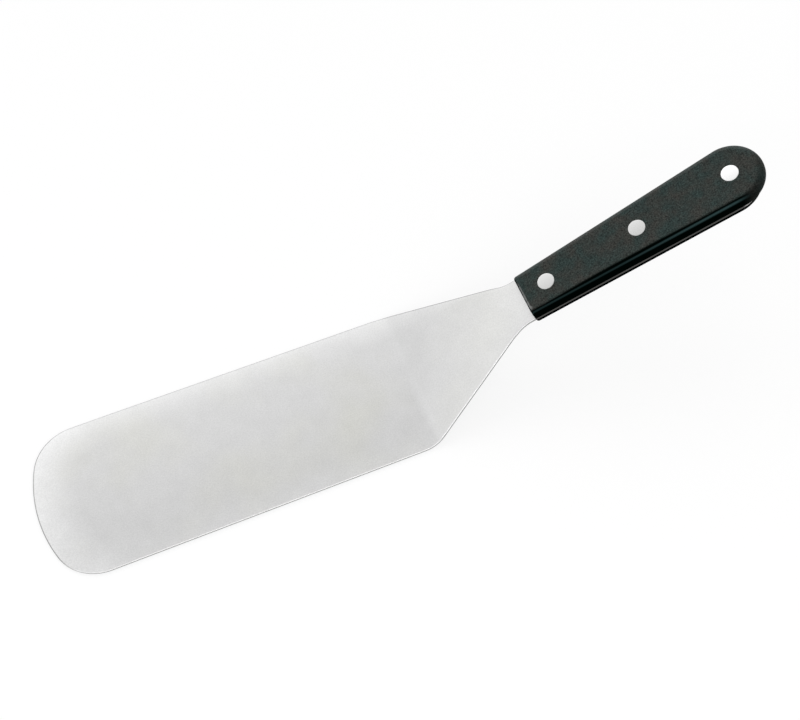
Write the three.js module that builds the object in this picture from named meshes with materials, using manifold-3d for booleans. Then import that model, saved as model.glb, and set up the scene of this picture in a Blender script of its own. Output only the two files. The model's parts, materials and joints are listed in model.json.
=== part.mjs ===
// Lasagna spatula: a cranked steel blade whose full tang runs between two riveted handle scales.
// Millimetres, +Z up, +X from the blade's tip towards the handle. The origin is on the underside
// of the flat blade, halfway along it: that face is what the spatula rests on.

import * as THREE from 'three';
import { mergeVertices } from 'three/addons/utils/BufferGeometryUtils.js';
import Module from 'manifold-3d';

// Blade, ramp and neck, along the flat blank before it is bent
const STEEL_THICKNESS = 1.1;
const BLADE_LENGTH = 173.1; // tip to the middle of the shoulder bend
const TIP_WIDTH = 75.3; // where the sides would meet the tip
const SHOULDER_WIDTH = 72.7;
const TIP_RADIUS = 71.5; // bow of the front edge
const TIP_CORNER_RADIUS = 21.7;
const SHOULDER_RADIUS = 28.5;
const RAMP_LENGTH = 53.6; // from the middle of one bend to the middle of the other
const NECK_WIDTH = 27.8; // where the ramp's straight edges reach the neck bend
const NECK_RADIUS = 18; // hollow curve from the ramp into the tang

// Bends, as angles from the flat blade and radii of the sheet's middle
const RAMP_ANGLE = THREE.MathUtils.degToRad(29.9);
const HANDLE_ANGLE = THREE.MathUtils.degToRad(20.1);
const SHOULDER_BEND_RADIUS = 16;
const NECK_BEND_RADIUS = 24;

// Handle, along the tang
const NECK_TO_FRONT_RIVET = 24;
const RIVET_PITCH = 45;
const RIVET_NAMES = ['front', 'middle', 'rear'];
const SCALE_FRONT_OVERHANG = 12; // scale ahead of the front rivet
const HANDLE_END_OVERHANG = 14.4; // handle behind the rear rivet
const FRONT_RIVET_WIDTH = 23.6; // handle width at the front rivet
const HANDLE_END_RADIUS = 15.15;
const LOWER_END_SETBACK = 2; // how far the tang and the lower scale end ahead of the upper scale
const SCALE_THICKNESS = 4.2;
const SCALE_EDGE_RADIUS = 3.6;

// Two-piece rivets with flush heads
const RIVET_HEAD_DIAMETER = 7.7;
const RIVET_HEAD_HEIGHT = 1.6;
const RIVET_TUBE_DIAMETER = 5.2;
const RIVET_PIN_DIAMETER = 3;

// Clearances
const SEAT_GAP = 0.2; // between a scale and the tang, and under a rivet head
const RIVET_GAP = 0.15; // round a rivet in its hole, and round a pin in its tube
const CUT_MARGIN = 2; // how far a cutting body reaches past what it cuts

// Fineness of the round stretches
const ARC_STEP = THREE.MathUtils.degToRad(6);
const BEND_STEP = THREE.MathUtils.degToRad(3);
const EDGE_SEGMENTS = 6;
const RIVET_SIDES = 32;
const LEAST_STEP = 1e-3; // sections of the blank closer than this are one
const MERGE_DISTANCE = 1e-4; // vertices closer than this are one

// Places along the blank that other sizes follow
const NECK_AT = BLADE_LENGTH + RAMP_LENGTH;
const FRONT_RIVET_AT = NECK_AT + NECK_TO_FRONT_RIVET;
const REAR_RIVET_OFFSET = RIVET_PITCH * (RIVET_NAMES.length - 1);
const HANDLE_END_AT = FRONT_RIVET_AT + REAR_RIVET_OFFSET + HANDLE_END_OVERHANG;
const HALF_HANDLE = STEEL_THICKNESS / 2 + SEAT_GAP + SCALE_THICKNESS;

const wasm = await Module();
wasm.setup();

const steel = new THREE.MeshStandardMaterial({ color: 0xd6d6d4, roughness: 0.38, metalness: 1 });
const acetal = new THREE.MeshStandardMaterial({ color: 0x2a2e2d, roughness: 0.55, metalness: 0 });
const rivetSteel = new THREE.MeshStandardMaterial({ color: 0xdedede, roughness: 0.3, metalness: 1 });

// A point at a distance and an angle from a centre.
function polar(centre, radius, angle) {
  return new THREE.Vector2(centre.x + radius * Math.cos(angle), centre.y + radius * Math.sin(angle));
}

// Points of an arc from one angle to another, both ends included.
function arc(centre, radius, from, to) {
  const steps = Math.max(2, Math.ceil(Math.abs(to - from) / ARC_STEP));
  const points = [];
  for (let i = 0; i <= steps; i += 1) {
    points.push(polar(centre, radius, from + ((to - from) * i) / steps));
  }
  return points;
}

// The arc that rounds a corner between two straight runs, given by their directions.
function roundedCorner(corner, runIn, runOut, radius) {
  const turn = runIn.cross(runOut) > 0 ? 1 : -1;
  const angle = Math.acos(runIn.dot(runOut));
  const start = corner.clone().addScaledVector(runIn, -radius * Math.tan(angle / 2));
  const toCentre = new THREE.Vector2(-runIn.y, runIn.x).multiplyScalar(turn);
  const centre = start.clone().addScaledVector(toCentre, radius);
  const from = Math.atan2(-toCentre.y, -toCentre.x);
  return arc(centre, radius, from, from + turn * angle);
}

// Where two lines cross, each given by a point and a direction.
function crossing(pointA, runA, pointB, runB) {
  const along = pointB.clone().sub(pointA).cross(runB) / runA.cross(runB);
  return pointA.clone().addScaledVector(runA, along);
}

// The rounded front corner: its circle touches the straight side and the bowed front edge.
function tipCorner(sidePoint, sideRun) {
  const bowCentre = new THREE.Vector2(TIP_RADIUS, 0);
  const inward = new THREE.Vector2(sideRun.y, -sideRun.x);
  const base = sidePoint.clone().addScaledVector(inward, TIP_CORNER_RADIUS);
  const toBase = base.clone().sub(bowCentre);
  const along = toBase.dot(sideRun);
  const reach = TIP_RADIUS - TIP_CORNER_RADIUS;
  const travel = -along - Math.sqrt(along * along - toBase.lengthSq() + reach * reach);
  const centre = base.clone().addScaledVector(sideRun, travel);
  const fromBow = centre.clone().sub(bowCentre);
  const bowEnd = Math.atan2(fromBow.y, fromBow.x);
  const sideEnd = Math.atan2(-inward.y, -inward.x);
  return {
    bow: arc(bowCentre, TIP_RADIUS, Math.PI, bowEnd).slice(1, -1),
    corner: arc(centre, TIP_CORNER_RADIUS, bowEnd, sideEnd),
  };
}

// The handle's straight side: it starts with its width at the front rivet and touches the round end.
function handleSide() {
  const point = new THREE.Vector2(FRONT_RIVET_AT, FRONT_RIVET_WIDTH / 2);
  const centre = new THREE.Vector2(HANDLE_END_AT - HANDLE_END_RADIUS, 0);
  const gap = centre.x - point.x;
  const lean = Math.asin(HANDLE_END_RADIUS / Math.hypot(gap, point.y)) - Math.atan2(point.y, gap);
  const run = new THREE.Vector2(Math.cos(lean), Math.sin(lean));
  return { point, run, lean, centre };
}

// Half of the round end, or of one a setback ahead of it that touches the same straight side.
function roundEnd({ lean, centre }, setback) {
  const moved = new THREE.Vector2(centre.x - setback, 0);
  const radius = HANDLE_END_RADIUS - setback * Math.sin(lean);
  return arc(moved, radius, Math.PI / 2 + lean, 0).slice(0, -1);
}

// Half the blank's outline: x along the blank from the tip, y the half width there.
function halfOutline(handle) {
  const tipSide = new THREE.Vector2(0, TIP_WIDTH / 2);
  const shoulder = new THREE.Vector2(BLADE_LENGTH, SHOULDER_WIDTH / 2);
  const neck = new THREE.Vector2(NECK_AT, NECK_WIDTH / 2);
  const sideRun = shoulder.clone().sub(tipSide).normalize();
  const rampRun = neck.clone().sub(shoulder).normalize();
  const tip = tipCorner(tipSide, sideRun);
  const neckCorner = crossing(shoulder, rampRun, handle.point, handle.run);
  return [
    ...tip.bow,
    ...tip.corner,
    ...roundedCorner(shoulder, sideRun, rampRun, SHOULDER_RADIUS),
    ...roundedCorner(neckCorner, rampRun, handle.run, NECK_RADIUS),
    ...roundEnd(handle, LOWER_END_SETBACK),
  ];
}

// The sheet's middle line: straight runs and bends, as lengths and the angles that they turn.
const SHOULDER_BEND_LENGTH = SHOULDER_BEND_RADIUS * RAMP_ANGLE;
const NECK_BEND_LENGTH = NECK_BEND_RADIUS * Math.abs(RAMP_ANGLE - HANDLE_ANGLE);
const MIDDLE_LINE = [
  { length: BLADE_LENGTH - SHOULDER_BEND_LENGTH / 2, turn: 0 },
  { length: SHOULDER_BEND_LENGTH, turn: RAMP_ANGLE },
  { length: RAMP_LENGTH - (SHOULDER_BEND_LENGTH + NECK_BEND_LENGTH) / 2, turn: 0 },
  { length: NECK_BEND_LENGTH, turn: HANDLE_ANGLE - RAMP_ANGLE },
  { length: HANDLE_END_AT - NECK_AT - NECK_BEND_LENGTH / 2, turn: 0 },
];

// Place and slope of the middle line at a distance along the blank.
function locate(distance) {
  const place = { x: -BLADE_LENGTH / 2, z: STEEL_THICKNESS / 2, angle: 0 };
  let left = distance;
  for (const { length, turn } of MIDDLE_LINE) {
    const used = Math.min(left, length);
    const turned = turn === 0 ? 0 : (turn * used) / length;
    const chord = turned === 0 ? used : (2 * Math.sin(turned / 2) * length) / turn;
    place.x += chord * Math.cos(place.angle + turned / 2);
    place.z += chord * Math.sin(place.angle + turned / 2);
    place.angle += turned;
    left -= used;
  }
  return place;
}

// Distances along the blank where its section is drawn: every outline point and every bend step.
function stations(outline) {
  const distances = outline.map((point) => point.x);
  let start = 0;
  for (const { length, turn } of MIDDLE_LINE) {
    const steps = Math.ceil(Math.abs(turn) / BEND_STEP);
    for (let i = 0; i <= steps && steps > 0; i += 1) distances.push(start + (length * i) / steps);
    start += length;
  }
  distances.sort((a, b) => a - b);
  return distances.filter((value, i) => i === 0 || value - distances[i - 1] > LEAST_STEP);
}

// Half width of the blank at a distance, between the two nearest outline points.
function halfWidth(outline, distance) {
  const next = Math.max(1, outline.findIndex((point) => point.x >= distance));
  const [a, b] = [outline[next - 1], outline[next]];
  return THREE.MathUtils.mapLinear(distance, a.x, b.x, a.y, b.y);
}

// The bent blank: a box divided along its length, each section set to the outline's width there
// and carried along the middle line, square to the sheet.
function bentBlank(outline) {
  const along = stations(outline);
  const geometry = new THREE.BoxGeometry(along.length - 1, 2, STEEL_THICKNESS, along.length - 1, 1, 1);
  const position = geometry.getAttribute('position');
  for (let i = 0; i < position.count; i += 1) {
    const distance = along[Math.round(position.getX(i) + (along.length - 1) / 2)];
    const place = locate(distance);
    const height = position.getZ(i);
    position.setXYZ(
      i,
      place.x - height * Math.sin(place.angle),
      position.getY(i) * halfWidth(outline, distance),
      place.z + height * Math.cos(place.angle),
    );
  }
  return geometry;
}

// A closed geometry as a body that can be cut.
function body(geometry) {
  const bare = geometry.clone();
  bare.deleteAttribute('normal');
  bare.deleteAttribute('uv');
  const merged = mergeVertices(bare, MERGE_DISTANCE);
  const index = merged.getIndex().array;
  const triangles = [];
  for (let i = 0; i < index.length; i += 3) {
    const [a, b, c] = index.slice(i, i + 3);
    if (a !== b && b !== c && c !== a) triangles.push(a, b, c);
  }
  return new wasm.Manifold(new wasm.Mesh({
    numProp: 3,
    vertProperties: new Float32Array(merged.getAttribute('position').array),
    triVerts: new Uint32Array(triangles),
  }));
}

// A cut body as a geometry again.
function geometryOf(solid) {
  const { vertProperties, triVerts, numProp } = solid.getMesh();
  const geometry = new THREE.BufferGeometry();
  geometry.setAttribute('position', new THREE.BufferAttribute(new Float32Array(vertProperties), numProp));
  geometry.setIndex(new THREE.BufferAttribute(new Uint32Array(triVerts), 1));
  return geometry;
}

// A turned piece on the Z axis, from pairs of radius and height.
function turned(profile) {
  const points = profile.map(([radius, height]) => new THREE.Vector2(radius, height));
  return new THREE.LatheGeometry(points, RIVET_SIDES).rotateX(Math.PI / 2);
}

// Levels and radii that a rivet's halves and its seat share, from the tang's middle.
const HEAD_RADIUS = RIVET_HEAD_DIAMETER / 2;
const TUBE_RADIUS = RIVET_TUBE_DIAMETER / 2;
const PIN_RADIUS = RIVET_PIN_DIAMETER / 2;
const HEAD_UNDERSIDE = HALF_HANDLE - RIVET_HEAD_HEIGHT;

// The upper half: a flush head and a tube that is open below.
function rivetTube() {
  return turned([
    [0, HEAD_UNDERSIDE],
    [PIN_RADIUS + RIVET_GAP, HEAD_UNDERSIDE],
    [PIN_RADIUS + RIVET_GAP, SEAT_GAP - HEAD_UNDERSIDE],
    [TUBE_RADIUS, SEAT_GAP - HEAD_UNDERSIDE],
    [TUBE_RADIUS, HEAD_UNDERSIDE],
    [HEAD_RADIUS, HEAD_UNDERSIDE],
    [HEAD_RADIUS, HALF_HANDLE],
    [0, HALF_HANDLE],
  ]);
}

// The lower half: a flush head and a pin that fills the tube.
function rivetPin() {
  return turned([
    [0, -HALF_HANDLE],
    [HEAD_RADIUS, -HALF_HANDLE],
    [HEAD_RADIUS, -HEAD_UNDERSIDE],
    [PIN_RADIUS, -HEAD_UNDERSIDE],
    [PIN_RADIUS, HEAD_UNDERSIDE - SEAT_GAP],
    [0, HEAD_UNDERSIDE - SEAT_GAP],
  ]);
}

// The hole that a rivet needs, right through the handle, with its two counterbores.
function rivetSeat() {
  const step = HEAD_UNDERSIDE - SEAT_GAP;
  const mouth = HALF_HANDLE + CUT_MARGIN;
  return turned([
    [0, -mouth],
    [HEAD_RADIUS + RIVET_GAP, -mouth],
    [HEAD_RADIUS + RIVET_GAP, -step],
    [TUBE_RADIUS + RIVET_GAP, -step],
    [TUBE_RADIUS + RIVET_GAP, step],
    [HEAD_RADIUS + RIVET_GAP, step],
    [HEAD_RADIUS + RIVET_GAP, mouth],
    [0, mouth],
  ]);
}

// The whole grip with its rounded edges, before the tang's slot and the front face are cut.
function gripBlank(handle, setback) {
  const edge = Math.min(SCALE_EDGE_RADIUS, SCALE_THICKNESS);
  const front = -SCALE_FRONT_OVERHANG - SCALE_EDGE_RADIUS - CUT_MARGIN;
  const frontHalfWidth = handle.point.y + (front * handle.run.y) / handle.run.x;
  const end = roundEnd(handle, setback).map((point) => new THREE.Vector2(point.x - FRONT_RIVET_AT, point.y));
  const side = [new THREE.Vector2(front, frontHalfWidth), ...end];
  const mirrored = side.map((point) => new THREE.Vector2(point.x, -point.y));
  const depth = 2 * (HALF_HANDLE - edge);
  return new THREE.ExtrudeGeometry(new THREE.Shape([...mirrored, ...side.reverse()]), {
    depth,
    bevelThickness: edge,
    bevelSize: edge,
    bevelOffset: -edge,
    bevelSegments: EDGE_SEGMENTS,
  }).translate(0, 0, -depth / 2);
}

// The room that a scale may fill: behind its front face and on its side of the tang.
function scaleRoom(side) {
  const length = SCALE_FRONT_OVERHANG + REAR_RIVET_OFFSET + HANDLE_END_OVERHANG + CUT_MARGIN;
  const width = 2 * HANDLE_END_RADIUS + FRONT_RIVET_WIDTH;
  const height = SCALE_THICKNESS + CUT_MARGIN;
  const middle = STEEL_THICKNESS / 2 + SEAT_GAP + height / 2;
  return new THREE.BoxGeometry(length, width, height)
    .translate(length / 2 - SCALE_FRONT_OVERHANG, 0, side * middle);
}

function named(name, geometry, material) {
  const mesh = new THREE.Mesh(geometry, material);
  mesh.name = name;
  return mesh;
}

// The handle's frame stands on the tang's middle at the front rivet, +X towards the handle's end.
const handle = handleSide();
const frontRivet = locate(FRONT_RIVET_AT);
const handleGroup = new THREE.Group();
handleGroup.position.set(frontRivet.x, 0, frontRivet.z);
handleGroup.rotation.y = -frontRivet.angle;
handleGroup.updateMatrixWorld(true);

const seats = RIVET_NAMES.map((name, i) => rivetSeat().translate(RIVET_PITCH * i, 0, 0));

let blank = body(bentBlank(halfOutline(handle)));
for (const seat of seats) blank = blank.subtract(body(seat.clone().applyMatrix4(handleGroup.matrixWorld)));

for (const [name, side, setback] of [['upper_scale', 1, 0], ['lower_scale', -1, LOWER_END_SETBACK]]) {
  const blankScale = body(gripBlank(handle, setback)).intersect(body(scaleRoom(side)));
  const scale = seats.reduce((solid, seat) => solid.subtract(body(seat)), blankScale);
  handleGroup.add(named(name, geometryOf(scale), acetal));
}

RIVET_NAMES.forEach((name, i) => {
  handleGroup.add(named(`${name}_rivet_tube`, rivetTube().translate(RIVET_PITCH * i, 0, 0), rivetSteel));
  handleGroup.add(named(`${name}_rivet_pin`, rivetPin().translate(RIVET_PITCH * i, 0, 0), rivetSteel));
});

const spatula = new THREE.Group();
spatula.add(named('blade_and_tang', geometryOf(blank), steel), handleGroup);

export default spatula;
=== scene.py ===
"""Looks of a lasagna spatula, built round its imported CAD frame.

A satin stainless blade with a full tang, two moulded black scales and three flush rivets. Every
piece is a surface computed with numpy, in metres, in the frame's own axes: +X from the blade's
tip towards the handle, +Z up, the origin on the underside of the flat blade.
"""

import json
import math

import bmesh
import bpy
import numpy as np
from bpy.props import FloatProperty, FloatVectorProperty, PointerProperty
from mathutils import Matrix, Vector


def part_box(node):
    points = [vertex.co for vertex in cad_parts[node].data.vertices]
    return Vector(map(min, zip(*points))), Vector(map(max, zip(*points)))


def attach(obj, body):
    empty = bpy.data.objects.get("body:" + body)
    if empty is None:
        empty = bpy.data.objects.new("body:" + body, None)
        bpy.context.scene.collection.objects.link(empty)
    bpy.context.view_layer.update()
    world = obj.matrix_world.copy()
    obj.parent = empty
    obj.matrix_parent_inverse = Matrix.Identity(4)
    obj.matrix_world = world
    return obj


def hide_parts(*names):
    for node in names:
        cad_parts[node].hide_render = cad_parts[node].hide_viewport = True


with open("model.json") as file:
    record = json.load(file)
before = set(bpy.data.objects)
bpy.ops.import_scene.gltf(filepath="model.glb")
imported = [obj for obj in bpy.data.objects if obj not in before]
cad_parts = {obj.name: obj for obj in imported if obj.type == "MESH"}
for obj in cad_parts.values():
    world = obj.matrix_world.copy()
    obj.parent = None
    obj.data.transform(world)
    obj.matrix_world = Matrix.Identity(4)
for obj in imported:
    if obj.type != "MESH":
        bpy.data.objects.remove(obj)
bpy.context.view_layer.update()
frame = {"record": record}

bl_info = {
    "name": "Lasagna Spatula",
    "version": (1, 0, 0),
    "blender": (4, 5, 0),
    "location": "3D View > Sidebar > Spatula",
    "description": "Builds a cranked lasagna spatula with a riveted handle, its stage and camera",
    "category": "Object",
}

MM = 0.001
BODY = "root"
RIVETS = ("front", "middle", "rear")
SIDES = {"upper": 1, "lower": -1}
MOUNTS = {mount["name"]: mount for mount in frame["record"]["mounts"]}
FRAME_TOLERANCE = 0.05 * MM

# Fineness of the surfaces
RUN_STEP = 1.0 * MM
ARC_STEP = math.radians(1.5)
CORNER_STEP = math.radians(6)
EDGE_STEPS = 9
ROLL_STEPS = 10
ROUND_STEPS = 25
FRONT_STEPS = 12
SIDE_STEPS = 90
RIVET_SIDES = 96
MERGE_DISTANCE = 0.0005 * MM
SHARP_ANGLE = math.radians(32)

# Rows inside a surface's rounded edges, as shares of the way out from the middle line
SHEET_ROWS = (0.0, 0.3, 0.6, 0.85)
SCALE_ROWS = (0.0, 0.4, 0.8, 0.97)

# Lighter, finer grind of the neck, partly a painted highlight: how much, its slant, and the length over
# which it starts at the bend
NECK_LIGHTENING_SHARE = 0.55
NECK_LIGHTENING_SLANT = 0.8
NECK_LIGHTENING_RUN = 3.0 * MM

# How marks change with the way an edge faces, so that light and shade are painted by side: parts of a
# direction, and the mark's share at each
MARGIN_LIGHTENING = ((-1.0, 1.0), (0.4, 0.65))
EDGE_HIGHLIGHT = ((-0.76, -0.36), (1.0, 0.0))
EDGE_SHADE = ((0.9, 0.93, 1.0), (1.0, 0.75, 0.6))
TANG_SHADE_FACING = ((0.03, 0.12), (1.0, 0.0))
MARGIN_LIGHTENING_POWER = 1.5

# Wear and painted highlight on the scales' front edge: from which share of its rounding, and where across
# the half width
WORN_HIGHLIGHT_FROM = 0.3
WORN_HIGHLIGHT_ACROSS = ((-0.9, -0.75, 0.2, 0.7), (0.0, 1.0, 0.7, 0.0))

# Satin steel: widths of its clouds, patches and grain, the grain's depth, and the tang's change of tone
STEEL_CLOUD = 40 * MM
STEEL_PATCH = 9 * MM
STEEL_GRAIN = 0.6 * MM
STEEL_GRAIN_DEPTH = 0.012 * MM
TANG_CHANGE = 0.2 * MM
ROUGHNESS_SPREAD = 0.06

# Moulded acetal: widths of its patches, pits and scuffs, the pits' depth, and how it bends light
ACETAL_PATCH = 7 * MM
ACETAL_PIT = 0.6 * MM
ACETAL_SCUFF = 1.8 * MM
ACETAL_PIT_DEPTH = 0.03 * MM
ACETAL_IOR = 1.48

# Noise that draws the patterns: the levels between which each comes in, the tones that it then runs
# through, how many finer layers it has, and how strong those are in the pits
CLOUDS_WARM = (0.45, 0.75)
PATCHES_WARM = (0.35, 0.65)
SCUFFS_SHOW = (0.3, 0.5)
MOTTLE_SHOWS = (0.25, 0.75)
MOTTLE_TONES = (0.0, 2.0)
GRAIN_TONES = (0.84, 1.16)
PATCH_TONES = (0.95, 1.05)
SOFT_DETAIL = 2.0
FINE_DETAIL = 3.0
PIT_ROUGHNESS = 0.7

# Painted shade on the acetal's side, as parts of a direction: where it is black, where it is matte, how
# much the round end counts, and how far the end moves both
SHADE_FROM = 0.29
MATTE_FROM = -0.02
END_WEIGHT = 0.35
END_MOVES_SHADE = 3.7
END_MOVES_MATTE = -5.6

# The painted highlight line on the rounded edge, and the edge that hands smoothed, as parts of a
# direction
HIGHLIGHT_AT = 0.63
HIGHLIGHT_WIDTH = 0.12
HIGHLIGHT_WIDENING = 0.06
SMOOTHED_EDGE = (-0.05, -0.3)

# Changes of the painted shade and the painted highlight line along the handle: distances from the front
# or the rear rivet, and the values at both
FRONT_REACH = ((-5 * MM, 20 * MM), (0.21, 0.02))
REAR_REACH = ((-40 * MM, -20 * MM), (0.0, 0.11))
END_MATTE = ((-2 * MM, 4 * MM), (0.0, 0.2))
HIGHLIGHT_GROWTH = ((20 * MM, 80 * MM), (0.42, 1.0))
HIGHLIGHT_FADING = ((4 * MM, -6 * MM), (0.0, 1.0))

# Rivet heads: how much painted highlight each has, and the belt scratches' length, width and depth
RIVET_HIGHLIGHT = {"front": 0.1, "middle": 0.0, "rear": 1.0}
SCRATCH_LENGTH = 4 * MM
SCRATCH_WIDTH = 0.15 * MM
SCRATCH_DEPTH = 0.002 * MM

# Settings that several shader nodes share
COLOURS = {"data_type": "RGBA"}
SHADED = {"data_type": "RGBA", "blend_type": "MULTIPLY"}
SMOOTH = {"interpolation_type": "SMOOTHSTEP"}
PLUS = {"operation": "ADD"}
LESS = {"operation": "SUBTRACT"}
TIMES = {"operation": "MULTIPLY"}
TIMES_PLUS = {"operation": "MULTIPLY_ADD"}
LARGER = {"operation": "MAXIMUM"}
DOT = {"operation": "DOT_PRODUCT"}

# Lamps: where they aim, how far away they stand, their directions, and their sizes in metres
LAMP_AIM = np.array([0.08, 0.0, 0.03])
LAMP_DISTANCE = 1.3
KEY_FROM = (0.6, -0.5, 0.62)
KEY_SPREAD = math.radians(50)
STRIP_FROM = (-0.2, -0.67, 0.7)
STRIP_SIZE = (2.0, 0.25)
LEFT_FROM = (-0.8, 0.22, 0.55)
LEFT_SIZE = (0.8, 0.8)

# Where the tent turns bright, as parts of a direction along Y and Z
BACK_FROM = (0.3, 0.85)
BACK_ABOVE = (0.2, 0.6)

# The camera's sensor, in millimetres, and the nearest that it sees, in metres
SENSOR_WIDTH = 36.0
NEAREST = 0.01


def unit(vector):
    """The vector at length 1."""
    return vector / np.linalg.norm(vector)


def rivet_centre(name):
    """A rivet's middle, halfway between its two heads: the middle of the box round both halves."""
    boxes = np.array([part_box(f"{name}_rivet_tube"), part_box(f"{name}_rivet_pin")])
    return (boxes.min(axis=(0, 1)) + boxes.max(axis=(0, 1))) / 2


# What the frame says of the sheet and the handle
SHEET = MOUNTS["blade_top"]["pos_m"][2]
HALF_GRIP = np.linalg.norm(
    np.subtract(MOUNTS["upper_grip_face"]["pos_m"], MOUNTS["lower_grip_face"]["pos_m"])
) / 2
RIVET_CENTRES = {name: rivet_centre(name) for name in RIVETS}
FRONT_RIVET = RIVET_CENTRES["front"]
REAR_RIVET_OFFSET = np.linalg.norm(RIVET_CENTRES["rear"] - FRONT_RIVET)
HANDLE_RUN = unit(RIVET_CENTRES["rear"] - FRONT_RIVET)
HANDLE_UP = np.cross(HANDLE_RUN, (0.0, 1.0, 0.0))
HANDLE_ANGLE = math.atan2(HANDLE_RUN[2], HANDLE_RUN[0])
FRONT_RIVET_AT = float(np.dot(FRONT_RIVET, HANDLE_RUN))
REAR_RIVET_AT = FRONT_RIVET_AT + float(REAR_RIVET_OFFSET)


def linear(hex_colour):
    """An sRGB hex colour as linear red, green, blue and an alpha of 1."""
    srgb = np.array([int(hex_colour[i : i + 2], 16) for i in (0, 2, 4)]) / 255
    light = np.where(srgb <= 0.04045, srgb / 12.92, ((srgb + 0.055) / 1.055) ** 2.4)
    return (*light.tolist(), 1.0)


def size(name, description, default):
    """A property for a length, in metres."""
    return FloatProperty(name=name, description=description, default=default, unit="LENGTH", precision=5)


def angle(name, description, default):
    """A property for an angle, in radians."""
    return FloatProperty(name=name, description=description, default=default, unit="ROTATION")


def number(name, description, default):
    """A property for a plain number from 0 upwards."""
    return FloatProperty(name=name, description=description, default=default, min=0.0)


def colour(name, description, hex_colour):
    """A property for a colour, given as sRGB hex."""
    return FloatVectorProperty(
        name=name, description=description, default=linear(hex_colour), size=4, subtype="COLOR",
        min=0.0, max=1.0,
    )


class BladeSizes(bpy.types.PropertyGroup):
    """Blade, ramp and neck, along the flat blank before it is bent."""

    flat_length: size("Length", "Tip to the middle of the shoulder bend", 173.1 * MM)
    tip_width: size("Tip width", "Where the sides would meet the tip", 75.3 * MM)
    shoulder_width: size("Shoulder width", "Width at the shoulder bend", 72.7 * MM)
    tip_radius: size("Tip radius", "Bow of the front edge", 71.5 * MM)
    tip_corner_radius: size("Tip corner radius", "Round of the front corners", 21.7 * MM)
    shoulder_radius: size("Shoulder radius", "Round of the shoulders, seen from above", 28.5 * MM)
    ramp_length: size("Ramp length", "From the middle of one bend to the other", 53.6 * MM)
    neck_width: size("Neck width", "Where the ramp's edges reach the neck bend", 27.8 * MM)
    neck_radius: size("Neck radius", "Hollow curve from the ramp into the tang", 18.0 * MM)
    ramp_angle: angle("Ramp angle", "Slope of the ramp", math.radians(29.9))
    shoulder_bend_radius: size("Shoulder bend radius", "Bend of the sheet's middle", 16.0 * MM)
    neck_bend_radius: size("Neck bend radius", "Bend of the sheet's middle", 24.0 * MM)
    edge_radius: size("Edge radius", "Broken edge of the sheet", 0.25 * MM)
    arris_band: size("Arris band", "How far in the breaking of the edge shows on the top", 0.3 * MM)
    tang_edge_radius: size("Tang edge radius", "Edge of the tang between the scales", 0.08 * MM)
    tip_roll_width: size("Tip roll width", "How far in the tip's edge is ground off", 20.0 * MM)
    tip_roll_drop: size("Tip roll drop", "How much the grinding takes at the tip's edge", 0.18 * MM)
    side_roll_width: size("Side roll width", "How far in the sides are ground off", 14.0 * MM)
    side_roll_drop: size("Side roll drop", "How much the grinding takes at the sides", 0.03 * MM)
    neck_roll_width: size("Neck roll width", "How far in the neck's edges are ground off", 2.0 * MM)
    # The tip's and the neck's finer grind is painted lighter, partly a painted highlight
    tip_lightening_end: size("Tip grind", "Where the tip's finer grind fades out, from the tip", 45.0 * MM)
    neck_lightening_start: size("Neck grind", "Where the neck's finer grind begins, from the tip", 172.0 * MM)


class HandleSizes(bpy.types.PropertyGroup):
    """The scales, along the tang from the front rivet."""

    neck_to_front_rivet: size("Neck to rivet", "Middle of the neck bend to the front rivet", 24.0 * MM)
    front_overhang: size("Front overhang", "Scale ahead of the front rivet", 12.0 * MM)
    end_overhang: size("End overhang", "Handle behind the rear rivet", 14.4 * MM)
    front_rivet_width: size("Width at the rivet", "Handle width at the front rivet", 23.6 * MM)
    end_radius: size("End radius", "Round end of the handle", 15.15 * MM)
    lower_setback: size("Lower setback", "How far ahead the tang and lower scale end", 2.0 * MM)
    edge_radius: size("Edge radius", "Round of the scales' long edges", 3.6 * MM)
    front_edge_radius: size("Front edge radius", "Round of the front face's top edge", 0.9 * MM)
    front_corner_radius: size("Front corner radius", "Round of the front corners, from above", 1.2 * MM)
    seat_gap: size("Seat gap", "Hairline between a scale and the tang", 0.04 * MM)


class RivetSizes(bpy.types.PropertyGroup):
    """Two-piece rivets with flush heads."""

    head_diameter: size("Head diameter", "Across a head", 7.7 * MM)
    head_height: size("Head height", "Thickness of a head", 1.6 * MM)
    tube_diameter: size("Tube diameter", "Outside of the tube", 5.2 * MM)
    pin_diameter: size("Pin diameter", "Across the pin", 3.0 * MM)
    crown: size("Crown", "How far the ground head still rises at its middle", 0.05 * MM)
    rim_radius: size("Rim radius", "Broken edge of a head", 0.12 * MM)
    gap: size("Gap", "Hairline round a rivet in its seat", 0.05 * MM)


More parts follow.
